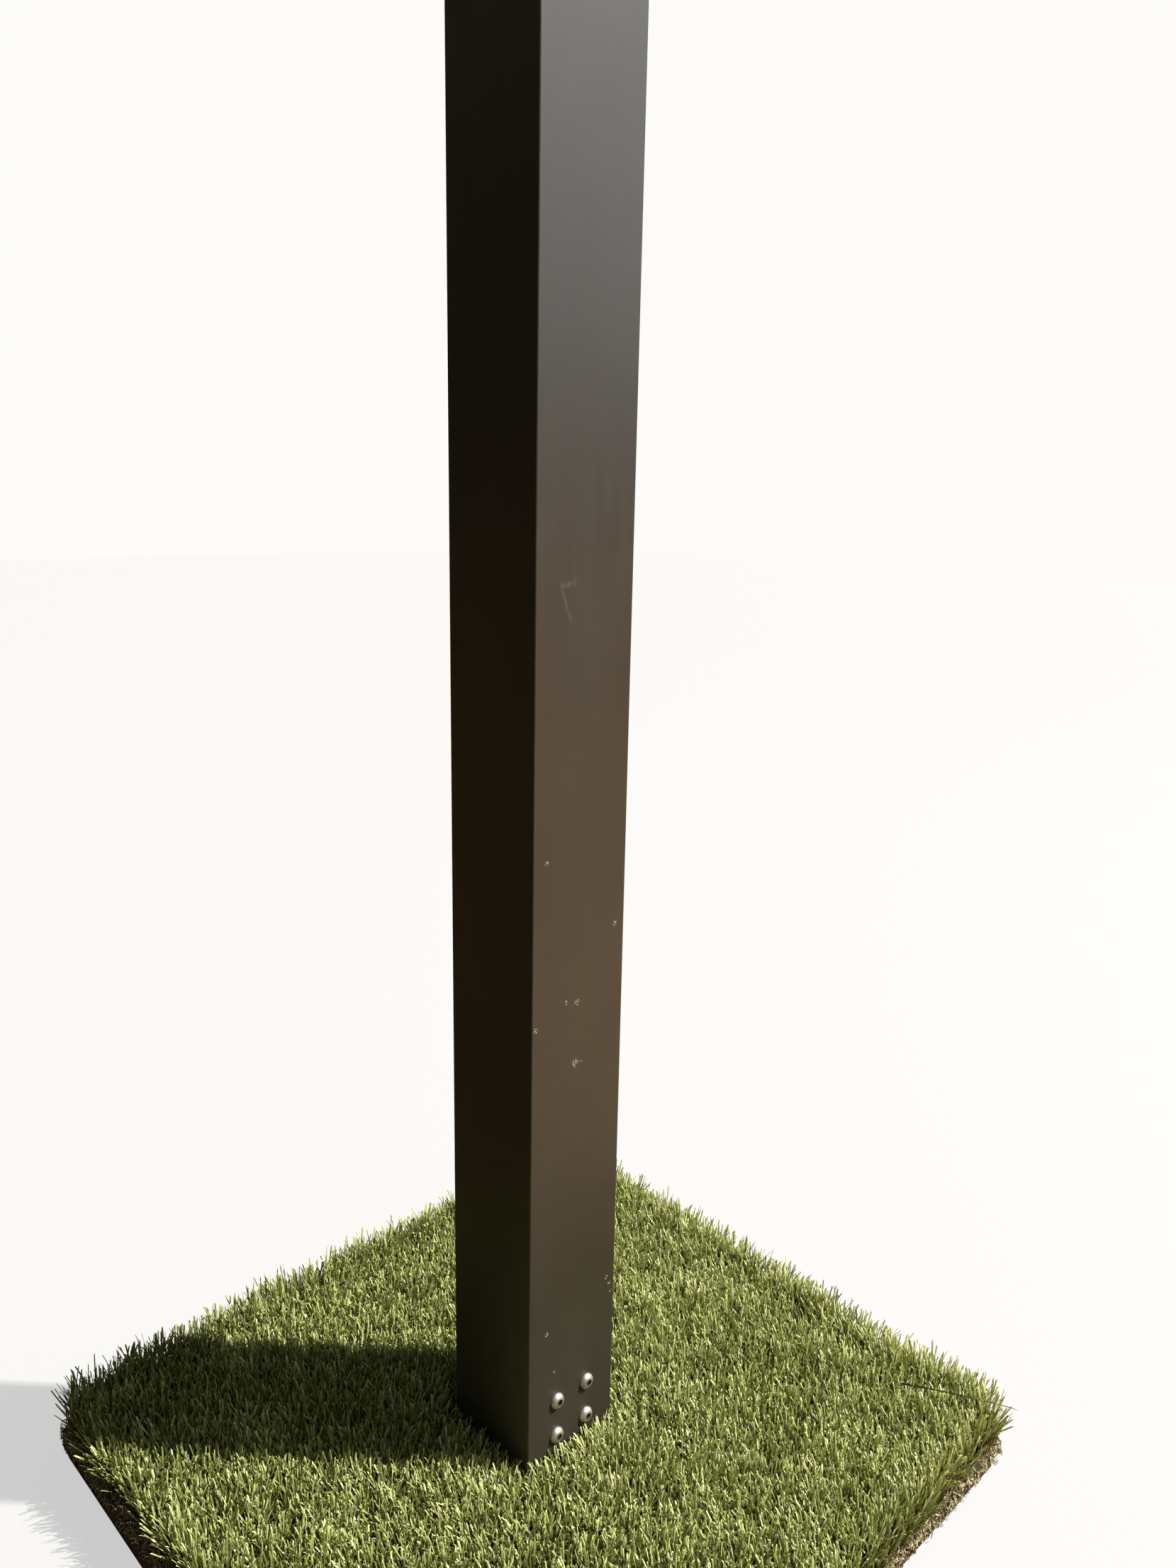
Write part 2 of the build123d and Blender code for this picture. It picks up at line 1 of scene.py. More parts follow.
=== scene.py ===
import itertools
import math
import random

import bmesh
import bpy
from mathutils import Matrix, Vector, noise


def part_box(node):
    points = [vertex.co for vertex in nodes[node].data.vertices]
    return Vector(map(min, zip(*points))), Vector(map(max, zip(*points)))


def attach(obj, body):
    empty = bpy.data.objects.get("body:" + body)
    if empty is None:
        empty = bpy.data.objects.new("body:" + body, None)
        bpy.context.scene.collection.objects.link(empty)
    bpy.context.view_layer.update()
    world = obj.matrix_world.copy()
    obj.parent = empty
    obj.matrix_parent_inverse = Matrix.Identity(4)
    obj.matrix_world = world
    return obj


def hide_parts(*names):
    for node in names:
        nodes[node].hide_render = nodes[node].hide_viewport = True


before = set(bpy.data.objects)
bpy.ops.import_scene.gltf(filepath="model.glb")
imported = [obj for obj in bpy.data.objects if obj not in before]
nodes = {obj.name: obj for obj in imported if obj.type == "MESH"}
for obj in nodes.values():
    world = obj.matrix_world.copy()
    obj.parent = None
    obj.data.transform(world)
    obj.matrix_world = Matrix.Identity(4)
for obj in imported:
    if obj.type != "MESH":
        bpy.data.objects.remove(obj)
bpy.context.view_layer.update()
print("frame loaded,", len(nodes), "nodes")

backingLow, backingHigh = (Vector(p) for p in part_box("turf_backing"))
postHigh = Vector(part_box("post")[1])
screwLow, screwHigh = (Vector(p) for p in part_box("post_screws_right"))
postHalf = postHigh.x
screwHeadRadius = 0.007
screwLevel = (screwLow.z + screwHigh.z) / 2
screwHalf = screwHigh.y - screwHeadRadius
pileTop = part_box("turf_blades")[1][2]


# --- node trees ---

def newMaterial(name, **inputs):
    material = bpy.data.materials.new(name)
    material.use_nodes = True
    shader = material.node_tree.nodes["Principled BSDF"]
    for key, value in inputs.items():
        shader.inputs[key.replace("_", " ")].default_value = value
    return material


def put(material, kind, inputs=None, **settings):
    node = material.node_tree.nodes.new(kind)
    for key, value in settings.items():
        setattr(node, key, value)
    for key, value in (inputs or {}).items():
        if isinstance(value, bpy.types.NodeSocket):
            material.node_tree.links.new(value, node.inputs[key])
        else:
            node.inputs[key].default_value = value
    return node


def wire(material, output, key):
    shader = material.node_tree.nodes["Principled BSDF"]
    material.node_tree.links.new(output, shader.inputs[key])


def objectPlace(material):
    return put(material, "ShaderNodeTexCoord").outputs["Object"]


def axesOf(material, vector):
    return put(material, "ShaderNodeSeparateXYZ", {0: vector}).outputs


def stretched(material, place, scale):
    return put(material, "ShaderNodeMapping", {"Vector": place, "Scale": scale}).outputs[0]


def noiseOf(material, place, scale, detail=2.0, roughness=0.5):
    inputs = {"Vector": place, "Scale": scale, "Detail": detail, "Roughness": roughness}
    return put(material, "ShaderNodeTexNoise", inputs).outputs["Fac"]


def math2(material, operation, a, b, clamp=False):
    return put(material, "ShaderNodeMath", {0: a, 1: b}, operation=operation, use_clamp=clamp).outputs[0]


def math1(material, operation, value):
    return put(material, "ShaderNodeMath", {0: value}, operation=operation).outputs[0]


def between(material, value, low, high, toLow=0.0, toHigh=1.0, smooth=True):
    inputs = {"Value": value, "From Min": low, "From Max": high, "To Min": toLow, "To Max": toHigh}
    kind = "SMOOTHSTEP" if smooth else "LINEAR"
    return put(material, "ShaderNodeMapRange", inputs, interpolation_type=kind).outputs[0]


def blendOf(material, factor, a, b, how="MIX"):
    return put(
        material, "ShaderNodeMix", {0: factor, 6: a, 7: b}, data_type="RGBA", blend_type=how
    ).outputs[2]


def rampOf(material, factor, stops):
    node = put(material, "ShaderNodeValToRGB", {"Fac": factor})
    ramp = node.color_ramp
    while len(ramp.elements) < len(stops):
        ramp.elements.new(0.5)
    for element, (position, color) in zip(ramp.elements, stops):
        element.position = position
        element.color = (*color, 1.0)
    return node.outputs["Color"]


def bumpFrom(material, height, distance, strength=1.0, under=None):
    inputs = {"Height": height, "Distance": distance, "Strength": strength}
    if under is not None:
        inputs["Normal"] = under
    return put(material, "ShaderNodeBump", inputs).outputs[0]


def rgb(r, g, b):
    return (r, g, b, 1.0)


# --- finishes ---

coat = {
    "color": rgb(0.0280, 0.0236, 0.0150),
    "warm": rgb(0.0310, 0.0226, 0.0168),
    "paleGrain": rgb(0.043, 0.037, 0.025),
    "chip": rgb(0.37, 0.33, 0.26),
    "chipShadow": rgb(0.011, 0.009, 0.006),
    "scuff": rgb(0.16, 0.15, 0.13),
    "dust": rgb(0.13, 0.12, 0.09),
    # paler colour along the post's corners: wear and painted highlight
    "wornAndHighlight": rgb(0.085, 0.078, 0.066),
    # darker colour towards the post's foot: grime and painted shade
    "grimeAndShade": rgb(0.0165, 0.0145, 0.0085),
    "grimeAndShadeHeight": (0.06, 0.30),
    "roughness": 0.40,
    "grainScale": 1500,
    # Y and Z of the chips on the face with the visible screws, and their size, in metres
    "chips": (
        (-0.036, 0.598, 0.0020), (0.039, 0.532, 0.0022), (-0.0135, 0.478, 0.0018),
        (-0.002, 0.475, 0.0026), (-0.046, 0.464, 0.0024), (-0.003, 0.422, 0.0036),
        (0.003, 0.421, 0.0014), (0.040, 0.201, 0.0018), (0.0435, 0.193, 0.0020),
        (0.046, 0.184, 0.0016), (-0.030, 0.180, 0.0018), (-0.021, 0.138, 0.0013),
    ),
    # middle (Y, Z), half length, lean and half width of each stroke of the scratch
    "strokes": ((-0.018, 0.8065, 0.0085, 0.14, 0.0035), (-0.0196, 0.7915, 0.0145, -1.19, 0.0017)),
}


def coatBase(name):
    material = newMaterial(name, Metallic=0.0, IOR=1.5)
    place = objectPlace(material)
    grain = noiseOf(material, place, coat["grainScale"], 1.0)
    fleck = between(material, grain, 0.56, 0.72)
    clouds = noiseOf(material, place, 7.0, 3.0)
    smears = noiseOf(material, stretched(material, place, (30.0, 30.0, 3.5)), 1.0, 4.0, 0.65)
    mottle = noiseOf(material, place, 60.0, 4.0, 0.65)
    color = blendOf(material, between(material, mottle, 0.35, 0.65), coat["color"], coat["warm"])
    color = blendOf(material, fleck, color, coat["paleGrain"])
    shade = between(material, clouds, 0.3, 0.7, 0.88, 1.12)
    color = put(
        material, "ShaderNodeVectorMath", {0: color, "Scale": shade}, operation="SCALE"
    ).outputs[0]
    rough = between(material, smears, 0.3, 0.75, coat["roughness"] - 0.04, coat["roughness"] + 0.07)
    return material, place, color, rough, bumpFrom(material, grain, 0.00005, 0.5)


def makeClampCoat():
    material, _, color, rough, normal = coatBase("clampCoat")
    wire(material, color, "Base Color")
    wire(material, rough, "Roughness")
    wire(material, normal, "Normal")
    return material


def coatChips(material, place, ragged):
    mask = None
    for y, z, size in coat["chips"]:
        away = put(
            material, "ShaderNodeVectorMath", {0: place, 1: (postHalf, y, z)}, operation="DISTANCE"
        ).outputs["Value"]
        torn = math2(material, "MULTIPLY", ragged, size * 1.6)
        edge = math2(material, "ADD", away, torn)
        spot = between(material, edge, size * 1.6, size * 2.0, 1.0, 0.0)
        mask = spot if mask is None else math2(material, "MAXIMUM", mask, spot)
    return mask


def coatStrokes(material, place):
    mask = None
    for y, z, half, lean, halfWidth in coat["strokes"]:
        moved = put(
            material, "ShaderNodeMapping", {"Vector": place, "Location": (-postHalf, -y, -z)},
            vector_type="POINT",
        ).outputs[0]
        turned = put(
            material, "ShaderNodeVectorRotate", {"Vector": moved, "Angle": -lean}, rotation_type="X_AXIS"
        ).outputs[0]
        parts = axesOf(material, turned)
        along = math1(material, "ABSOLUTE", parts["Y"])
        across = math1(material, "ABSOLUTE", parts["Z"])
        ends = between(material, along, half * 0.8, half, 1.0, 0.0)
        width = between(material, across, halfWidth * 0.2, halfWidth, 1.0, 0.0)
        stroke = math2(material, "MULTIPLY", ends, width)
        mask = stroke if mask is None else math2(material, "MAXIMUM", mask, stroke)
    return mask


def coatDust(material, place, height):
    # specks, more of them lower down
    cells = put(
        material, "ShaderNodeTexVoronoi", {"Vector": place, "Scale": 130.0}, feature="F1"
    ).outputs
    chance = put(material, "ShaderNodeSeparateColor", {0: cells["Color"]}).outputs[0]
    fewer = between(material, height, 0.08, 0.7, 0.45, 0.80)
    specks = between(material, cells["Distance"], 0.03, 0.07, 0.7, 0.0)
    return math2(material, "MULTIPLY", specks, math2(material, "GREATER_THAN", chance, fewer))


def coatWearAndHighlight(material, axes, scuffs):
    # the post's corners are grazed, with a painted highlight: the coat is paler along each vertical
    # corner
    sides = [math1(material, "ABSOLUTE", axes[key]) for key in "XY"]
    corner = math2(material, "MINIMUM", *sides)
    wornAndHighlight = between(material, corner, postHalf - 0.0016, postHalf - 0.0004, 0.0, 0.55)
    return math2(material, "MULTIPLY", wornAndHighlight, between(material, scuffs, 0.35, 0.65, 0.35, 1.0))


def makePostCoat():
    material, place, color, rough, normal = coatBase("postCoat")
    axes = axesOf(material, place)
    litFace = between(material, axes["X"], postHalf - 0.0008, postHalf - 0.0002)
    ragged = noiseOf(material, place, 900.0, 3.0, 0.7)
    chipped = math2(material, "MULTIPLY", coatChips(material, place, ragged), litFace)
    bits = noiseOf(material, place, 780.0, 1.0, 0.5)
    bright = math2(material, "MULTIPLY", chipped, between(material, bits, 0.53, 0.57))
    shadowed = math2(material, "MULTIPLY", chipped, between(material, bits, 0.47, 0.42, 0.0, 0.9))
    scratched = math2(material, "MULTIPLY", coatStrokes(material, place), litFace)
    scuffs = noiseOf(material, stretched(material, place, (260.0, 260.0, 90.0)), 1.0, 5.0, 0.7)
    faint = math2(material, "MULTIPLY", scratched, between(material, scuffs, 0.38, 0.6, 0.05, 0.24))
    dust = coatDust(material, place, axes["Z"])
    wornAndHighlight = coatWearAndHighlight(material, axes, scuffs)
    # grime near the turf and painted shade: the coat is darker and rougher towards the foot of the post
    low = between(material, axes["Z"], *coat["grimeAndShadeHeight"], 0.75, 0.0)
    grimeAndShade = math2(material, "MULTIPLY", low, between(material, ragged, 0.3, 0.7, 0.6, 1.0))
    layers = (
        (grimeAndShade, "grimeAndShade"), (wornAndHighlight, "wornAndHighlight"), (dust, "dust"), (faint, "scuff"),
        (shadowed, "chipShadow"), (bright, "chip"),
    )
    for mask, key in layers:
        color = blendOf(material, mask, color, coat[key])
    wire(material, color, "Base Color")
    rough = math2(material, "ADD", rough, math2(material, "MULTIPLY", grimeAndShade, 0.25), True)
    wire(material, rough, "Roughness")
    pits = math2(material, "MULTIPLY", chipped, bits)
    wire(material, bumpFrom(material, pits, 0.0004, 0.8, normal), "Normal")
    return material


def makeStainless(name, shadedSockets=None):
    material = newMaterial(name, Metallic=0.9)
    place = objectPlace(material)
    fine = noiseOf(material, place, 2600.0, 2.0)
    tarnish = noiseOf(material, place, 160.0, 4.0, 0.6)
    color = blendOf(
        material, between(material, tarnish, 0.35, 0.7), rgb(0.70, 0.63, 0.59), rgb(0.46, 0.40, 0.36)
    )
    if shadedSockets:
        # painted shade: darker colour in the hexagon sockets of a square of four screws
        level, half, reach = shadedSockets
        axes = axesOf(material, place)
        height = math2(material, "SUBTRACT", axes["Z"], level)
        parts = {}
        for key, value in {"X": axes["Y"], "Y": height}.items():
            side = math1(material, "ABSOLUTE", value)
            parts[key] = math2(material, "SUBTRACT", side, half)
        flat = put(material, "ShaderNodeCombineXYZ", parts).outputs[0]
        away = put(material, "ShaderNodeVectorMath", {0: flat}, operation="LENGTH").outputs["Value"]
        socketShade = between(material, away, reach, reach * 1.06, 0.86, 0.0)
        color = blendOf(material, socketShade, color, rgb(0.085, 0.068, 0.056))
    wire(material, color, "Base Color")
    wire(material, between(material, tarnish, 0.3, 0.75, 0.38, 0.50), "Roughness")
    wire(material, bumpFrom(material, fine, 0.00003, 0.4), "Normal")
    return material


def makePlatePaint():
    material = newMaterial("platePaint", Metallic=0.0)
    place = objectPlace(material)
    rust = noiseOf(material, place, 38.0, 6.0, 0.65)
    fine = noiseOf(material, place, 700.0, 3.0)
    rusty = between(material, rust, 0.52, 0.68)
    color = blendOf(material, rusty, rgb(0.030, 0.018, 0.011), rgb(0.10, 0.034, 0.014))
    speckle = between(material, fine, 0.4, 0.7, 0.0, 0.5)
    color = blendOf(material, speckle, color, rgb(0.035, 0.022, 0.014))
    wire(material, color, "Base Color")
    wire(material, between(material, rusty, 0.0, 1.0, 0.48, 0.85), "Roughness")
    relief = math2(material, "ADD", fine, math2(material, "MULTIPLY", rusty, 2.0))
    wire(material, bumpFrom(material, relief, 0.0002, 0.6), "Normal")
    return material


def makeBareSteel():
    material = newMaterial("bareSteel", Metallic=0.85)
    place = objectPlace(material)
    scale = noiseOf(material, place, 55.0, 5.0, 0.6)
    color = blendOf(
        material, between(material, scale, 0.4, 0.62), rgb(0.23, 0.22, 0.21), rgb(0.34, 0.31, 0.28)
    )
    wire(material, color, "Base Color")
    wire(material, between(material, scale, 0.3, 0.7, 0.42, 0.62), "Roughness")
    wire(material, bumpFrom(material, scale, 0.0001, 0.4), "Normal")
    return material


def makeRubber():
    material = newMaterial("footRubber")
    place = objectPlace(material)
    grain = noiseOf(material, place, 900.0, 3.0)
    color = blendOf(material, grain, rgb(0.018, 0.018, 0.018), rgb(0.045, 0.043, 0.040))
    wire(material, color, "Base Color")
    wire(material, between(material, grain, 0.3, 0.7, 0.68, 0.85), "Roughness")
    wire(material, bumpFrom(material, grain, 0.00012, 0.6), "Normal")
    return material


def makeNylon():
    material = newMaterial("nylon")
    place = objectPlace(material)
    grain = noiseOf(material, place, 1600.0, 2.0)
    color = blendOf(material, grain, rgb(0.016, 0.016, 0.017), rgb(0.034, 0.034, 0.035))
    wire(material, color, "Base Color")
    wire(material, between(material, grain, 0.3, 0.7, 0.42, 0.58), "Roughness")
    wire(material, bumpFrom(material, grain, 0.00006, 0.6), "Normal")
    return material


def makeTape():
    material = newMaterial("clothTape", Roughness=0.7)
    place = objectPlace(material)
    weave = put(
        material, "ShaderNodeTexChecker", {"Vector": place, "Scale": 900.0}
    ).outputs["Fac"]
    color = blendOf(material, weave, rgb(0.62, 0.60, 0.54), rgb(0.72, 0.70, 0.65))
    wire(material, color, "Base Color")
    wire(material, bumpFrom(material, weave, 0.00005, 0.5), "Normal")
    return material


def makeRolledAluminium(name, grainAlong, color, roughness):
    material = newMaterial(name, Metallic=1.0)
    place = objectPlace(material)
    lines = noiseOf(material, stretched(material, place, grainAlong), 1.0, 3.0, 0.6)
    blotch = noiseOf(material, place, 14.0, 4.0)
    mixed = blendOf(
        material, between(material, lines, 0.3, 0.7), color, rgb(*(0.82 * c for c in color[:3]))
    )
    wire(material, mixed, "Base Color")
    rough = math2(
        material, "ADD",
        between(material, lines, 0.3, 0.7, roughness - 0.05, roughness + 0.06),
        between(material, blotch, 0.3, 0.7, -0.04, 0.05),
    )
    wire(material, rough, "Roughness")
    wire(material, bumpFrom(material, lines, 0.00003, 0.5), "Normal")
    return material


def makeSheeting(name, color, pale):
    # prismatic sheeting: small cells in a faint lattice under a smooth face
    material = newMaterial(name, Coat_Weight=0.35, Coat_Roughness=0.12)
    place = objectPlace(material)
    flat = stretched(material, place, (1.0, 0.0, 1.0))
    cells = put(
        material,
        "ShaderNodeTexVoronoi",
        {"Vector": flat, "Scale": 260.0, "Randomness": 0.12},
        feature="DISTANCE_TO_EDGE",
    ).outputs["Distance"]
    seams = between(material, cells, 0.03, 0.10, 1.0, 0.0)
    dirt = noiseOf(material, stretched(material, place, (9.0, 9.0, 2.2)), 1.0, 5.0, 0.6)
    mixed = blendOf(material, math2(material, "MULTIPLY", seams, 0.45), color, pale)
    mixed = blendOf(
        material, between(material, dirt, 0.5, 0.8, 0.0, 0.25), mixed, rgb(0.16, 0.15, 0.12)
    )
    wire(material, mixed, "Base Color")
    wire(material, between(material, dirt, 0.3, 0.8, 0.30, 0.48), "Roughness")
    wire(material, bumpFrom(material, seams, 0.00004, 0.5), "Normal")
    return material


socketReach = 0.00292  # from a screw's axis to just past the corners of its hexagon

finishes = {
    "postCoat": makePostCoat(),
    "clampCoat": makeClampCoat(),
    "stainless": makeStainless("stainless"),
    "screwSteel": makeStainless("screwSteel", (screwLevel, screwHalf, socketReach)),
    "platePaint": makePlatePaint(),
    "bareSteel": makeBareSteel(),
    "footRubber": makeRubber(),
    "nylon": makeNylon(),
    "clothTape": makeTape(),
    "panelBack": makeRolledAluminium("panelBack", (3.0, 40.0, 900.0), rgb(0.57, 0.58, 0.60), 0.47),
    "railMetal": makeRolledAluminium("railMetal", (2.0, 1400.0, 1400.0), rgb(0.59, 0.60, 0.615), 0.42),
    "greenFilm": makeSheeting("greenFilm", rgb(0.010, 0.085, 0.042), rgb(0.03, 0.16, 0.09)),
    "whiteVinyl": makeSheeting("whiteVinyl", rgb(0.72, 0.73, 0.70), rgb(0.58, 0.59, 0.57)),
}
finishOf = {
    "post": "postCoat", "post_cap": "clampCoat", "lower_clamp": "clampCoat", "upper_clamp": "clampCoat",
    "post_screws_right": "screwSteel", "post_screws_left": "screwSteel", "cap_screws": "stainless",
    "base_screws": "stainless", "foot_screws": "stainless", "foot_washers": "stainless",
    "clamp_bolts": "stainless", "clamp_washers": "stainless", "clamp_nuts": "stainless",
    "base_plate": "platePaint", "spigot_tube": "bareSteel", "spigot_plate": "bareSteel",
    "spigot_weld": "bareSteel", "nut_plate_right": "bareSteel", "nut_plate_left": "bareSteel",
    "rubber_feet": "footRubber", "cap_plug": "nylon", "rail_end_caps": "nylon",
    "turf_tape": "clothTape", "sign_panel": "panelBack", "panel_rivets": "railMetal",
    "lower_rail": "railMetal", "upper_rail": "railMetal", "sign_film": "greenFilm",
    "sign_graphic": "whiteVinyl",
}
for nodeName, finish in finishOf.items():
    for holder in nodes[nodeName].material_slots:
        holder.material = finishes[finish]
print("finishes set on", len(finishOf), "nodes")


# --- artificial turf ---

turf = {
    "rowSpacing": 0.0082,
    "stitch": 0.0052,
    "jitter": 0.0017,
    "bladesPerTuft": 8,
    "bladeLength": 0.0445,
    "bladeWidth": (0.00105, 0.0018),
    "bladeThickness": 0.00034,
    "lengthRange": (0.74, 1.08),
    "startTilt": (0, 16),
    "bend": (-16, 68, 24),
    "bladeTurn": 0.9,
    "rootSpread": 0.0008,
    "tanShare": 0.02,
    "variants": 26,
    "tones": 6,
    "toneStep": 4,
    "lightLevel": 0.51,
    "paintedLightSlope": 0.62,  # painted light: paler towards the corner at +X and +Y, where the sun comes from, by this much a metre
    "lightPatches": 0.55,
    "lightSpread": 0.5,
    "edgeReach": 0.030,
    "edgeLean": (-4, 19),
    "frontLean": 0.15,  # share of that lean along the front edge
    "edgeGrowth": (0.09, 0.20),  # longer strands stand along the front and the back edges
    "edgeExtra": 0.016,  # tufts this near the edge stand twice as close
    "postTrim": 0.24,
    "trimReach": (0.022, 0.004),
    "rootGap": 0.0028,
    "wallGap": 0.0004,
    "rim": 0.0048,
    "napLean": 9,
    "cornerRadius": 0.024,
    "frontInset": 0.017,  # the pile stops short of the plate towards one end of the front edge
    "insetAlong": (-0.31, 0.02),
    "insetNear": (-0.20, -0.30),
    "patchesX": 3,
    "patchesY": 3,
    "overhang": (0.002, 0.34),  # how far out past the backing, at its level and for each metre above
}
shadeCells = 64
rootLevel = backingHigh.z
openingHalf = postHalf + 0.002
turfHalf = Vector((backingHigh.x, backingHigh.y))


def shadeUv(cell, across, along):
    # one narrow column of the map for each shade, with the blade's root at the bottom
    return ((cell + 0.15 + 0.7 * across) / shadeCells, 0.01 + 0.98 * along)


def grownEnd(bm, face, spot):
    # extrudes a strand's end face, whose new verts take on the old ones' corner numbers
    old = {tuple(v.co): spot[v] for v in face.verts}
    grown = bmesh.ops.extrude_face_region(bm, geom=[face])["geom"]
    verts = [g for g in grown if isinstance(g, bmesh.types.BMVert)]
    for v in verts:
        spot[v] = old[tuple(v.co)]
    return verts, next(g for g in grown if isinstance(g, bmesh.types.BMFace))


def makeStrand(bm, uvLayer, places, sizes, thickness, side, cell):
    # A three-sided strand that tapers to a point. places are its ring centres and its tip.
    steps = len(places) - 1
    ring = bmesh.ops.create_circle(bm, cap_ends=True, segments=3, radius=sizes[0])["verts"]
    spot = {v: corner for corner, v in enumerate(ring)}
    face = ring[0].link_faces[0]
    along = {}
    made = {face}

    def settle(verts, step):
        ahead = (places[min(step + 1, steps)] - places[max(step - 1, 0)]).normalized()
        across = (side - side.dot(ahead) * ahead).normalized()
        out = ahead.cross(across)
        for v in verts:
            corner = spot[v]
            if corner < 2:
                v.co = places[step] + across * (corner - 0.5) * sizes[step]
            else:
                v.co = places[step] + out * thickness
            along[v] = step / steps

    settle(ring, 0)
    for step in range(1, steps):
        verts, top = grownEnd(bm, face, spot)
        if step > 1:
            bmesh.ops.delete(bm, geom=[face], context="FACES_ONLY")
        settle(verts, step)
        made.update(f for v in verts for f in v.link_faces)
        face = top
    verts = grownEnd(bm, face, spot)[0]
    along.update((v, 1.0) for v in verts)
    if steps > 1:
        bmesh.ops.delete(bm, geom=[face], context="FACES_ONLY")
    made.update(f for v in verts for f in v.link_faces)
    across = {0: 0.0, 1: 1.0, 2: 0.5}
    for f in made:
        if f.is_valid:
            for loop in f.loops:
                loop[uvLayer].uv = shadeUv(cell, across[spot[loop.vert]], along[loop.vert])
    bmesh.ops.pointmerge(bm, verts=verts, merge_co=places[-1])


def finishedMesh(name, bm):
    bmesh.ops.recalc_face_normals(bm, faces=bm.faces[:])
    mesh = bpy.data.meshes.new(name)
    bm.to_mesh(mesh)
    bm.free()
    return mesh


def newObject(name, data):
    made = bpy.data.objects.new(name, data)
    bpy.context.collection.objects.link(made)
    return made


def bladePath(root, heading, startTilt, endTilt, length):
    shares = (0.50, 0.46, 0.04)  # the tip is cut off almost square
    places = [Vector(root)]
    done = 0.0
    for share in shares:
        tilt = startTilt + (endTilt - startTilt) * (done + share / 2) ** 1.3
        flat = math.sin(tilt)
        step = Vector((flat * math.cos(heading), flat * math.sin(heading), math.cos(tilt)))
        places.append(places[-1] + step * share * length)
        done += share
    return places


def makeTuft(index):
    dice = random.Random(100 + index)
    lastGreen = shadeCells - 2 - turf["tones"] * turf["toneStep"]
    bm = bmesh.new()
    uvLayer = bm.loops.layers.uv.new("OFBake")
    for _ in range(turf["bladesPerTuft"]):
        heading = dice.uniform(0, 2 * math.pi)
        startTilt = math.radians(dice.uniform(*turf["startTilt"]))
        endTilt = startTilt + math.radians(dice.triangular(*turf["bend"]))
        length = turf["bladeLength"] * dice.uniform(*turf["lengthRange"])
        width = dice.uniform(*turf["bladeWidth"])
        root = (dice.gauss(0, turf["rootSpread"]), dice.gauss(0, turf["rootSpread"]), 0.0)
        places = bladePath(root, heading, startTilt, endTilt, length)
        turn = heading + math.pi / 2 + dice.uniform(-turf["bladeTurn"], turf["bladeTurn"])
        side = Vector((math.cos(turn), math.sin(turn), 0.0))
        cell = 0 if dice.random() < turf["tanShare"] else dice.randint(3, lastGreen)
        sizes = (width * 0.8, width, width * 0.9)
        makeStrand(bm, uvLayer, places, sizes, turf["bladeThickness"], side, cell)
    return finishedMesh(f"tuft{index}", bm)


def toneCopies(mesh):
    # the same tuft a few shades lighter each time
    copies = []
    for tone in range(turf["tones"]):
        copy = mesh.copy()
        shift = tone * turf["toneStep"] / shadeCells
        for loop in copy.uv_layers["OFBake"].data:
            loop.uv.x += shift
        copies.append(copy)
    return copies


def edgeOf(x, y):
    # distance in from the turf's rounded outline, and the way out
    inner = turfHalf - Vector((turf["cornerRadius"], turf["cornerRadius"]))
    over = Vector((max(abs(x) - inner.x, 0.0), max(abs(y) - inner.y, 0.0)))
    if over.x > 0 and over.y > 0:
        away = turf["cornerRadius"] - over.length
        out = Vector((math.copysign(over.x, x), math.copysign(over.y, y))).normalized()
    elif turfHalf.x - abs(x) < turfHalf.y - abs(y):
        away, out = turfHalf.x - abs(x), Vector((math.copysign(1, x), 0))
    else:
        away, out = turfHalf.y - abs(y), Vector((0, math.copysign(1, y)))
    return away, out


def shareBetween(start, end, value):
    return max(0.0, min(1.0, (value - start) / (end - start)))


def insetAt(x, y):
    return turf["frontInset"] * shareBetween(*turf["insetAlong"], x) * shareBetween(*turf["insetNear"], y)


def leanTowards(direction, angle):
    axis = Vector((-direction.y, direction.x, 0.0))
    return Matrix.Rotation(angle, 4, axis)


def keepOff(bm):
    # Blades lie against the post, stay above the backing and don't hang far over its edge.
    wall = postHalf + turf["wallGap"]
    least, slope = turf["overhang"]
    for v in bm.verts:
        x, y = v.co.x, v.co.y
        if abs(x) < wall and abs(y) < wall:
            if abs(x) > abs(y):
                v.co.x = math.copysign(wall, x)
            else:
                v.co.y = math.copysign(wall, y)
        v.co.z = max(v.co.z, rootLevel)
        away, out = edgeOf(v.co.x, v.co.y)
        if away < 0:
            allowed = least + slope * (v.co.z - rootLevel)
            v.co.xy += out * (min(-away, allowed) + away)


# one long loose fibre that lies on the tips near a corner
looseStrand = {
    "ends": ((0.220, 0.266, 0.0042), (0.318, 0.323, 0.0018)),  # heights are above the pile's top
    "bow": (-0.0008, 0.001, 0.0006),
    "widths": (0.0017, 0.0019, 0.0017, 0.0015, 0.0013, 0.0011, 0.0009),
    "thickness": 0.0007,
    "cell": 1,
}


def addLooseStrand(bm):
    start, end = (Vector((x, y, pileTop + above)) for x, y, above in looseStrand["ends"])
    bow = Vector(looseStrand["bow"])
    steps = len(looseStrand["widths"])
    places = [
        start.lerp(end, t / steps) + bow * math.sin(math.pi * t / steps) for t in range(steps + 1)
    ]
    makeStrand(
        bm, bm.loops.layers.uv["OFBake"], places, looseStrand["widths"], looseStrand["thickness"],
        Vector((0, 0, 1)), looseStrand["cell"],
    )


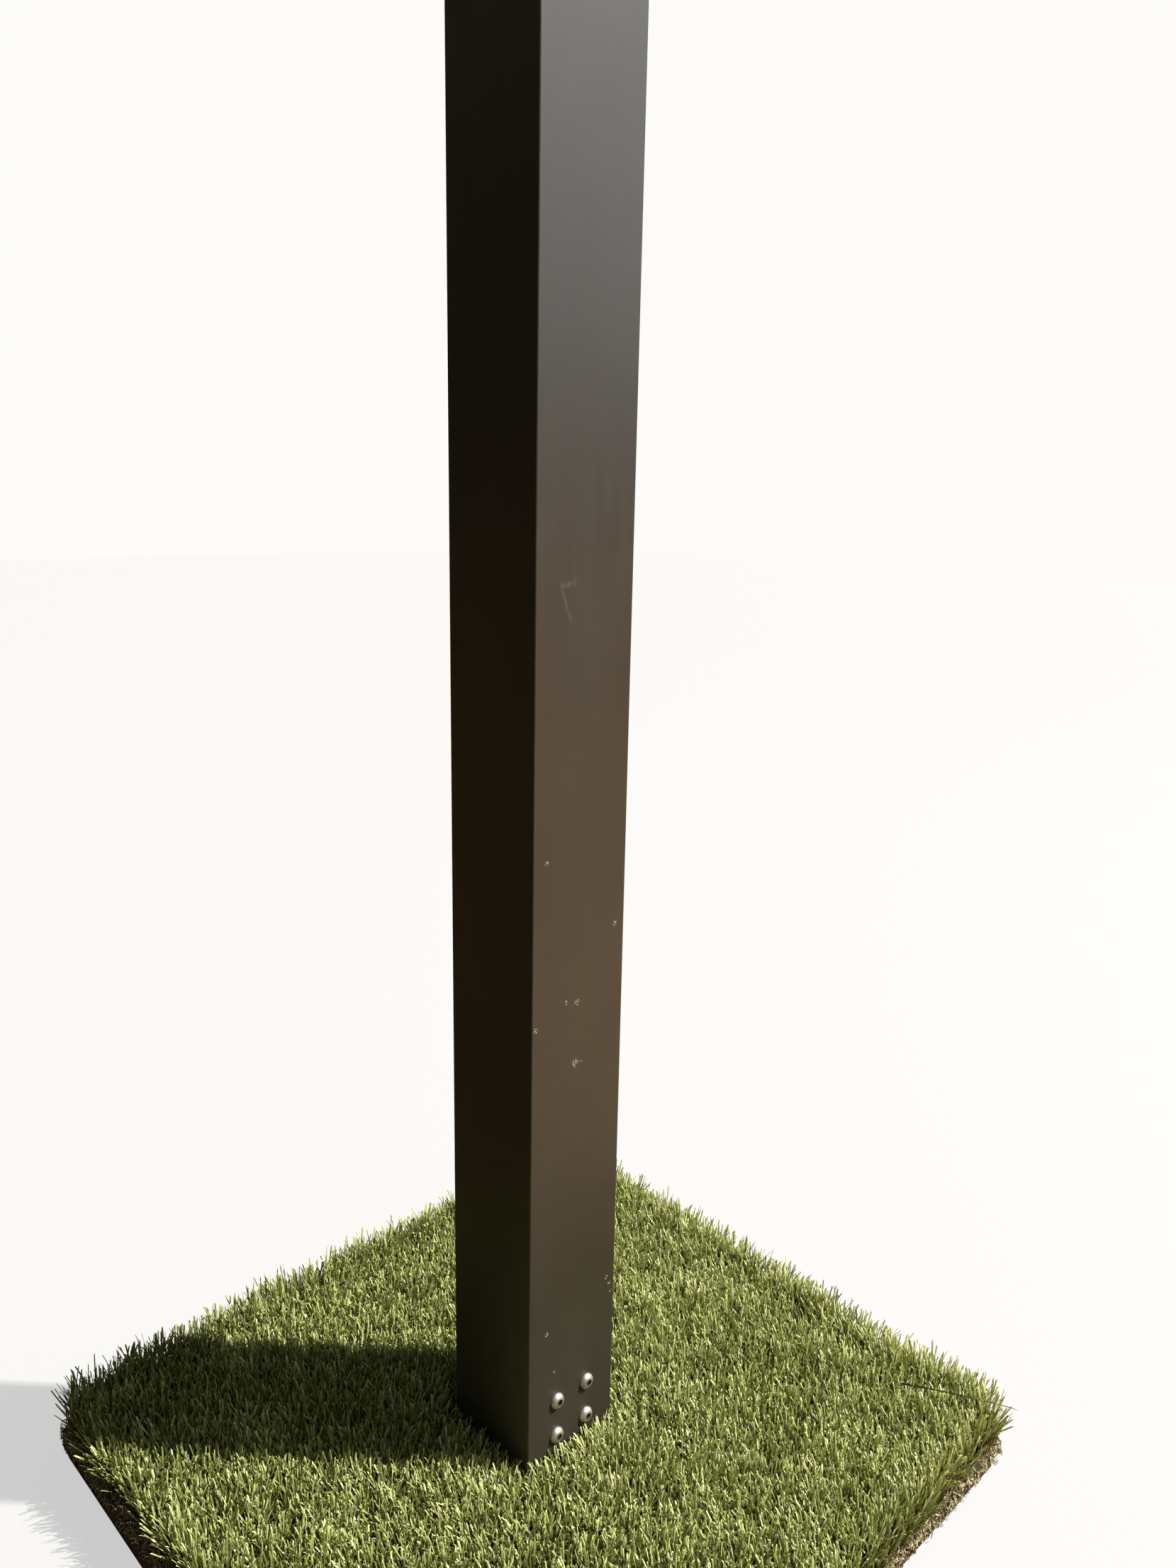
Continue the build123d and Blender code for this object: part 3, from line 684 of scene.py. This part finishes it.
def tuftMatrix(dice, x, y, away, out):
    flow = noise.noise(Vector((x * 9, y * 9, 3.0))) * math.pi * 1.5 + 2.2
    nap = math.radians(turf["napLean"]) * (0.5 + dice.random())
    matrix = Matrix.Rotation(dice.uniform(0, 2 * math.pi), 4, "Z")
    matrix = leanTowards(Vector((math.cos(flow), math.sin(flow))), nap) @ matrix
    nearEdge = max(0.0, 1 - (away - turf["rim"]) / turf["edgeReach"])
    if nearEdge > 0:
        most = dice.uniform(*turf["edgeLean"]) * (turf["frontLean"] if out.y < -0.5 else 1.0)
        matrix = leanTowards(out, math.radians(most) * nearEdge) @ matrix
    size = 0.94 + 0.10 * dice.random() + 0.06 * noise.noise(Vector((x * 22, y * 22, 9.0)))
    size *= 1 + turf["edgeGrowth"][out.x < -0.5 or out.y > 0.5] * nearEdge
    fromPost = max(abs(x), abs(y)) - postHalf
    size *= 1 - turf["postTrim"] * shareBetween(*turf["trimReach"], fromPost)
    return Matrix.Translation((x, y, rootLevel)) @ Matrix.Diagonal((1, 1, size, 1)) @ matrix


def tuftTone(dice, x, y):
    patchy = noise.noise(Vector((x * 30, y * 30, 0.5)))
    # painted light: tufts get paler towards the sunny corner at +X and +Y
    light = turf["lightLevel"] + turf["paintedLightSlope"] * (x + y) + turf["lightPatches"] * patchy
    light += dice.uniform(-turf["lightSpread"], turf["lightSpread"])
    return max(0, min(turf["tones"] - 1, int(light * turf["tones"])))


def patchOf(x, y):
    return (
        min(int((x + turfHalf.x) / (2 * turfHalf.x) * turf["patchesX"]), turf["patchesX"] - 1),
        min(int((y + turfHalf.y) / (2 * turfHalf.y) * turf["patchesY"]), turf["patchesY"] - 1),
    )


def addMoved(bm, mesh, matrix):
    mesh.transform(matrix)
    bm.from_mesh(mesh)
    mesh.transform(matrix.inverted())


def placePile(tufts):
    dice = random.Random(11)
    patches = {}
    columns = int(2 * turfHalf.x / turf["rowSpacing"])
    rows = int(2 * turfHalf.y / turf["stitch"])
    opening = postHalf + turf["rootGap"]
    for column, row, extra in itertools.product(range(columns), range(rows), (False, True)):
        x = -turfHalf.x + (column + 0.5) * 2 * turfHalf.x / columns + dice.gauss(0, turf["jitter"])
        y = -turfHalf.y + (row + dice.random()) * 2 * turfHalf.y / rows
        away, out = edgeOf(x, y)
        away -= insetAt(x, y)
        if away < turf["rim"] or (abs(x) < opening and abs(y) < opening):
            continue
        if extra and away > turf["edgeExtra"]:
            continue
        matrix = tuftMatrix(dice, x, y, away, out)
        tone = tuftTone(dice, x, y)
        key = patchOf(x, y)
        if key not in patches:
            patches[key] = bmesh.new()
        addMoved(patches[key], tufts[dice.randrange(len(tufts))][tone], matrix)
    addLooseStrand(patches[max(patches)])
    return patches


def shadeCell(material):
    # the place in the blade map, its column counted across, and the column's share of the row
    axes = axesOf(material, put(material, "ShaderNodeUVMap", uv_map="OFBake").outputs[0])
    cells = math2(material, "MULTIPLY", axes["X"], float(shadeCells))
    cell = math1(material, "FLOOR", cells)
    return axes["Y"], cells, cell, math2(material, "DIVIDE", cell, float(shadeCells - 1))


def makePileMaterial():
    material = newMaterial("turfGreen", Roughness=0.40, IOR=1.42, Subsurface_Weight=0.20)
    shader = material.node_tree.nodes["Principled BSDF"]
    shader.inputs["Subsurface Radius"].default_value = (1.0, 1.0, 0.4)
    shader.inputs["Subsurface Scale"].default_value = 0.0012
    height, cells, cell, share = shadeCell(material)
    across = math1(material, "FRACT", cells)
    color = rampOf(material, share, (
        (0.000, (0.52, 0.44, 0.25)),
        (0.016, (0.030, 0.032, 0.014)),
        (0.040, (0.058, 0.074, 0.018)),
        (0.300, (0.205, 0.248, 0.068)),
        (0.600, (0.520, 0.570, 0.215)),
        (1.000, (0.970, 0.990, 0.600)),
    ))
    jitter = put(material, "ShaderNodeTexWhiteNoise", {"W": cell}, noise_dimensions="1D")
    color = blendOf(material, 0.10, color, jitter.outputs["Color"], "SOFT_LIGHT")
    rib = math2(material, "SUBTRACT", across, 0.5)
    rib = math1(material, "ABSOLUTE", rib)
    rib = between(material, rib, 0.03, 0.14, 0.22, 0.0)
    color = blendOf(material, rib, color, rgb(0.50, 0.55, 0.24))
    # painted shade and highlight: each blade is much darker towards its root and paler than its own
    # colour at the tip
    rise = rampOf(material, height, (
        (0.00, (0.07, 0.06, 0.03)),
        (0.40, (0.30, 0.30, 0.22)),
        (0.72, (0.98, 0.98, 0.94)),
        (1.00, (1.30, 1.28, 1.34)),
    ))
    color = blendOf(material, 1.0, color, rise, "MULTIPLY")
    wire(material, color, "Base Color")
    return material


def buildPile():
    tufts = [toneCopies(makeTuft(index)) for index in range(turf["variants"])]
    patches = placePile(tufts)
    green = makePileMaterial()
    pieces = []
    for number, key in enumerate(sorted(patches), 1):
        bm = patches[key]
        keepOff(bm)
        mesh = bpy.data.meshes.new(f"turf_blades_{number}")
        bm.to_mesh(mesh)
        bm.free()
        mesh.materials.append(green)
        piece = newObject(mesh.name, mesh)
        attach(piece, "root")
        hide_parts("turf_blades")
        pieces.append(piece)
        print("  patch", number, len(mesh.polygons), "faces")
    for copies in tufts:
        for mesh in copies:
            bpy.data.meshes.remove(mesh)
    return pieces


pilePieces = buildPile()
print("turf pile made,", len(pilePieces), "patches")


# --- thatch: the tan curled fibres under the blades ---

thatch = {
    "matHeight": 0.0055,
    "matCell": 0.006,
    "curlRadius": 0.00048,
    "curlVariants": 18,
    "curlSize": (0.0016, 0.0036),
    "curlTurns": (0.7, 1.6),
    "curlRise": (0.004, 0.014),
    "curlSteps": 7,
    "edgeChance": 0.85,
    "postGap": 0.006,
    "edgeBand": 0.0135,
    "edgeSpacing": 0.0027,
    "innerSpacing": 0.0130,
    "overhang": 0.0034,
    "droop": 1.5,
}


def roundedGrid(cell, holeHalf):
    # A flat grid cut to the turf's outline, with the square opening for the post.
    bm = bmesh.new()
    across = round(2 * turfHalf.x / cell)
    along = round(2 * turfHalf.y / cell)
    bmesh.ops.create_grid(bm, x_segments=across, y_segments=along, size=1.0)
    bmesh.ops.scale(bm, verts=bm.verts[:], vec=(turfHalf.x, turfHalf.y, 1.0))
    hole = [f for f in bm.faces if max(abs(c) for c in f.calc_center_median().xy) < holeHalf]
    bmesh.ops.delete(bm, geom=hole, context="FACES")
    bmesh.ops.delete(bm, geom=[v for v in bm.verts if not v.link_faces], context="VERTS")
    for v in bm.verts:
        away, out = edgeOf(v.co.x, v.co.y)
        if away < 0:
            v.co.xy += out * away
        near = max(abs(v.co.x), abs(v.co.y))
        if near < holeHalf + cell * 0.9:
            v.co.xy *= holeHalf / near
    bmesh.ops.dissolve_degenerate(bm, dist=0.00005, edges=bm.edges[:])
    return bm


def thickened(bm):
    # extrudes a flat grid into a closed sheet and gives back its upper verts
    grown = bmesh.ops.extrude_face_region(bm, geom=bm.faces[:])["geom"]
    return [g for g in grown if isinstance(g, bmesh.types.BMVert)]


def makeMat():
    # the matted bottom of the thatch, which closes the view between the blades
    bm = roundedGrid(thatch["matCell"], openingHalf)
    for v in thickened(bm):
        bump = noise.noise(v.co * 160) + 0.6 * noise.noise(v.co * 420)
        v.co.z = rootLevel + thatch["matHeight"] * (1 + 0.5 * bump)
    for v in bm.verts:
        if v.co.z < rootLevel:
            v.co.z = rootLevel
        away, out = edgeOf(v.co.x, v.co.y)
        if away < 0.001:
            v.co.xy -= out * (0.0015 + 0.001 * noise.noise(v.co * 300))
    mesh = finishedMesh("turf_mat", bm)
    material = newMaterial("thatchMat", Roughness=0.9)
    place = objectPlace(material)
    fibres = noiseOf(material, place, 420.0, 5.0, 0.7)
    tangle = put(
        material, "ShaderNodeTexVoronoi", {"Vector": place, "Scale": 520.0}, feature="F1"
    ).outputs["Distance"]
    color = rampOf(material, fibres, (
        (0.30, (0.028, 0.026, 0.010)),
        (0.55, (0.085, 0.070, 0.034)),
        (0.75, (0.210, 0.165, 0.085)),
    ))
    wire(material, color, "Base Color")
    relief = math2(material, "ADD", fibres, tangle)
    wire(material, bumpFrom(material, relief, 0.0012, 0.9), "Normal")
    mesh.materials.append(material)
    return newObject(mesh.name, mesh)


def makeCurl(index):
    # one clump of two curled fibres
    dice = random.Random(500 + index)
    bm = bmesh.new()
    uvLayer = bm.loops.layers.uv.new("OFBake")
    for _ in range(2):
        radius = dice.uniform(*thatch["curlSize"])
        turns = dice.uniform(*thatch["curlTurns"])
        rise = dice.uniform(*thatch["curlRise"])
        slant = Vector((dice.gauss(0, 0.003), dice.gauss(0, 0.003), 0))
        start = dice.uniform(0, 2 * math.pi)
        flat = dice.uniform(0.4, 1.0)
        places = []
        for step in range(thatch["curlSteps"] + 1):
            share = step / thatch["curlSteps"]
            angle = start + share * turns * 2 * math.pi
            grow = radius * (0.35 + 0.65 * math.sin(math.pi * min(share * 1.2, 1)))
            place = Vector((math.cos(angle) * grow, math.sin(angle) * grow * flat, rise * share))
            places.append(place + slant * share + Vector((0, 0, 0.0012)))
        thick = thatch["curlRadius"] * dice.uniform(0.8, 1.3)
        sizes = [thick * 2] * (thatch["curlSteps"] - 1) + [thick * 1.6]
        side = Vector((math.cos(start), math.sin(start), 0.6)).normalized()
        makeStrand(bm, uvLayer, places, sizes, thick * 1.2, side, dice.randint(0, shadeCells - 2))
    return finishedMesh(f"curl{index}", bm)


def makeCurlMaterial():
    material = newMaterial("thatchTan", Roughness=0.6)
    height, _, _, share = shadeCell(material)
    color = rampOf(material, share, (
        (0.00, (0.120, 0.086, 0.043)),
        (0.35, (0.240, 0.188, 0.103)),
        (0.75, (0.390, 0.320, 0.188)),
        (0.92, (0.620, 0.545, 0.370)),
        (1.00, (0.380, 0.400, 0.140)),
    ))
    # painted shade: each curl is darker towards its base
    rise = between(material, height, 0.0, 0.7, 0.45, 1.0)
    shaded = put(material, "ShaderNodeVectorMath", {0: color, "Scale": rise}, operation="SCALE")
    wire(material, shaded.outputs[0], "Base Color")
    return material


def scattered(dice, spacing):
    # one random place in each square of a grid over the turf
    for column in range(int(2 * turfHalf.x / spacing)):
        for row in range(int(2 * turfHalf.y / spacing)):
            x = -turfHalf.x + (column + dice.random()) * spacing
            yield x, -turfHalf.y + (row + dice.random()) * spacing


def buildCurls():
    dice = random.Random(23)
    curls = [makeCurl(index) for index in range(thatch["curlVariants"])]
    groups = {"edge_front": bmesh.new(), "edge_back": bmesh.new(), "inner": bmesh.new()}

    def drop(group, x, y, z, lean, out):
        mesh = curls[dice.randrange(len(curls))]
        matrix = Matrix.Rotation(dice.uniform(0, 2 * math.pi), 4, "Z")
        matrix = leanTowards(out, lean) @ matrix
        matrix = Matrix.Translation((x, y, z)) @ matrix
        addMoved(groups[group], mesh, matrix)

    for x, y in scattered(dice, thatch["edgeSpacing"]):
        away, out = edgeOf(x, y)
        inset = insetAt(x, y)
        if 0.5 * inset < away < thatch["edgeBand"] + inset and dice.random() < thatch["edgeChance"]:
            lean = math.radians(dice.uniform(0, 70)) * max(0.0, 1 - away / thatch["edgeBand"])
            group = "edge_front" if y < x else "edge_back"
            drop(group, x, y, rootLevel + dice.uniform(0, 0.002), lean, out)
    for x, y in scattered(dice, thatch["innerSpacing"]):
        away, out = edgeOf(x, y)
        clear = max(abs(x), abs(y)) > postHalf + thatch["postGap"]
        if away >= thatch["edgeBand"] and clear:
            drop("inner", x, y, rootLevel + dice.uniform(0.001, 0.006), dice.uniform(0, 0.9), out)
    tan = makeCurlMaterial()
    pieces = []
    for name, bm in groups.items():
        for v in bm.verts:
            v.co.z = max(v.co.z, rootLevel + 0.0004)
            away, out = edgeOf(v.co.x, v.co.y)
            beyond = thatch["overhang"] * (1.0 if out.x > 0.5 else 0.3)
            v.co.xy += out * min(0.0, away + beyond)
            v.co.z -= thatch["droop"] * max(0.0, min(-away, beyond))
        mesh = bpy.data.meshes.new(f"turf_curls_{name}")
        bm.to_mesh(mesh)
        bm.free()
        mesh.materials.append(tan)
        pieces.append(newObject(mesh.name, mesh))
        print("  curls", name, len(mesh.polygons), "faces")
    for mesh in curls:
        bpy.data.meshes.remove(mesh)
    return pieces


thatchPieces = [makeMat()] + buildCurls()
for piece in thatchPieces:
    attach(piece, "root")
    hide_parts("turf_thatch")
print("thatch made")


# --- backing: the woven sheet under the thatch ---

backing = {"cell": 0.006, "fray": 0.0009, "sag": 0.0004}


def makeBacking():
    bm = roundedGrid(backing["cell"], openingHalf)
    bmesh.ops.translate(bm, verts=bm.verts[:], vec=(0, 0, backingLow.z))
    bmesh.ops.translate(bm, verts=thickened(bm), vec=(0, 0, backingHigh.z - backingLow.z))
    for v in bm.verts:
        away, out = edgeOf(v.co.x, v.co.y)
        if away < 0.001:
            v.co.xy -= out * backing["fray"] * (1 + noise.noise(v.co * 210))
            v.co.z += backing["sag"] * noise.noise(v.co * 45)
    mesh = finishedMesh("turf_backing_sheet", bm)
    material = newMaterial("backingWeave", Roughness=0.85)
    place = objectPlace(material)
    weave = put(
        material, "ShaderNodeTexWave",
        {"Vector": place, "Scale": 180.0, "Distortion": 3.0, "Detail": 2.0, "Detail Scale": 3.0},
    ).outputs["Fac"]
    fuzz = noiseOf(material, place, 900.0, 4.0, 0.7)
    color = rampOf(material, fuzz, (
        (0.30, (0.040, 0.026, 0.015)),
        (0.60, (0.120, 0.085, 0.050)),
        (0.80, (0.260, 0.200, 0.125)),
    ))
    color = blendOf(material, math2(material, "MULTIPLY", weave, 0.35), color, rgb(0.07, 0.05, 0.03))
    wire(material, color, "Base Color")
    wire(material, bumpFrom(material, math2(material, "ADD", weave, fuzz), 0.0004, 0.8), "Normal")
    mesh.materials.append(material)
    piece = newObject(mesh.name, mesh)
    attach(piece, "root")
    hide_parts("turf_backing")
    return piece


backingPiece = makeBacking()
print("backing made")


# --- stage ---

stage = {"floorSize": 14.0, "sunFrom": (0.48, 0.47, 0.74), "sunPower": 9.0, "sunAngle": 0.9}
bounce = {"shady": rgb(0.060, 0.042, 0.018), "sunny": rgb(0.40, 0.265, 0.165)}
sky = {
    "tint": rgb(1.0, 0.96, 0.84),
    "shown": rgb(0.985, 0.970, 0.935),
    "brightWay": (0.55, 0.55, 0.63),
    "strength": (0.03, 0.24),
}
# a tall soft panel that the post's side face mirrors towards the camera
skyPanel = {
    "place": (2.6, 2.6, 2.6), "aim": (0, 0, 1.1), "energy": 56, "color": (0.76, 0.88, 1.0),
    "shape": "RECTANGLE", "size": 2.4, "size_y": 2.6,
}
signFill = {
    "place": (-0.9, -3.3, 2.9), "aim": (0, 0, 2.05), "energy": 330, "color": (1.0, 0.98, 0.95),
    "spot_size": math.radians(26), "spot_blend": 0.8, "shadow_soft_size": 0.5,
}
cameraSetup = {
    "place": (0.680, -0.608, 0.870), "yaw": 45.75, "pitch": -13.81, "roll": 1.13, "lens": 27.03,
}


def makeFloor():
    bm = bmesh.new()
    bmesh.ops.create_grid(bm, x_segments=1, y_segments=1, size=stage["floorSize"])
    mesh = finishedMesh("floor", bm)
    material = bpy.data.materials.new("paleFloor")
    material.use_nodes = True
    tree = material.node_tree
    pale = tree.nodes["Principled BSDF"]
    pale.inputs["Base Color"].default_value = rgb(0.15, 0.15, 0.15)
    pale.inputs["Roughness"].default_value = 0.9
    pale.inputs["Emission Color"].default_value = rgb(1.0, 1.0, 1.0)
    pale.inputs["Emission Strength"].default_value = 0.58
    # the floor bounces warm light onto the sunny side of the post only
    place = axesOf(material, objectPlace(material))
    sunny = between(material, place["Y"], 0.0, 0.6)
    warm = blendOf(material, sunny, bounce["shady"], bounce["sunny"])
    dim = put(material, "ShaderNodeBsdfDiffuse", {"Color": warm})
    seen = put(material, "ShaderNodeLightPath").outputs["Is Camera Ray"]
    both = put(material, "ShaderNodeMixShader", {0: seen, 1: dim.outputs[0], 2: pale.outputs[0]})
    tree.links.new(both.outputs[0], tree.nodes["Material Output"].inputs["Surface"])
    mesh.materials.append(material)
    newObject("floor", mesh)


def makeWorld():
    world = bpy.data.worlds.new("studio")
    bpy.context.scene.world = world
    world.use_nodes = True
    tree = world.node_tree
    soft = tree.nodes["Background"]
    soft.inputs["Color"].default_value = sky["tint"]
    # dim behind the post's shaded side, brighter above and on the sunny side
    ways = tree.nodes.new("ShaderNodeVectorMath")
    ways.operation = "DOT_PRODUCT"
    ways.inputs[1].default_value = sky["brightWay"]
    tree.links.new(tree.nodes.new("ShaderNodeTexCoord").outputs["Generated"], ways.inputs[0])
    light = tree.nodes.new("ShaderNodeMapRange")
    reach = (-0.5, 0.6, *sky["strength"])
    for key, value in zip(("From Min", "From Max", "To Min", "To Max"), reach):
        light.inputs[key].default_value = value
    tree.links.new(ways.outputs["Value"], light.inputs["Value"])
    tree.links.new(light.outputs[0], soft.inputs["Strength"])
    shown = tree.nodes.new("ShaderNodeBackground")
    shown.inputs["Color"].default_value = sky["shown"]
    path = tree.nodes.new("ShaderNodeLightPath")
    mix = tree.nodes.new("ShaderNodeMixShader")
    tree.links.new(path.outputs["Is Camera Ray"], mix.inputs[0])
    tree.links.new(soft.outputs[0], mix.inputs[1])
    tree.links.new(shown.outputs[0], mix.inputs[2])
    tree.links.new(mix.outputs[0], tree.nodes["World Output"].inputs["Surface"])


def makeLight(name, kind, place, aim, energy, color, **settings):
    data = bpy.data.lights.new(name, kind)
    data.energy = energy
    data.color = color
    for key, value in settings.items():
        setattr(data, key, value)
    light = newObject(name, data)
    light.location = place
    light.rotation_euler = (Vector(aim) - Vector(place)).to_track_quat("-Z", "Y").to_euler()
    return light


def makeCamera():
    data = bpy.data.cameras.new("camera")
    data.lens = cameraSetup["lens"]
    data.sensor_width = 36.0
    data.clip_start = 0.02
    camera = newObject("camera", data)
    turn = Matrix.Rotation(math.radians(cameraSetup["yaw"]), 4, "Z")
    tip = Matrix.Rotation(math.radians(90 + cameraSetup["pitch"]), 4, "X")
    roll = Matrix.Rotation(math.radians(cameraSetup["roll"]), 4, "Z")
    camera.matrix_world = Matrix.Translation(cameraSetup["place"]) @ turn @ tip @ roll
    bpy.context.scene.camera = camera


makeFloor()
makeWorld()
sunPlace = Vector(stage["sunFrom"]) * 5
makeLight(
    "key", "SUN", sunPlace, (0, 0, 0), stage["sunPower"], (1.0, 0.95, 0.86),
    angle=math.radians(stage["sunAngle"]),
)
makeLight("skyPanel", "AREA", **skyPanel)
fillLight = makeLight("signFill", "SPOT", **signFill)
fillLight.visible_glossy = False  # no bright spot mirrored in the sign's face
makeCamera()
bpy.context.scene.view_settings.view_transform = "Standard"
print("stage made")
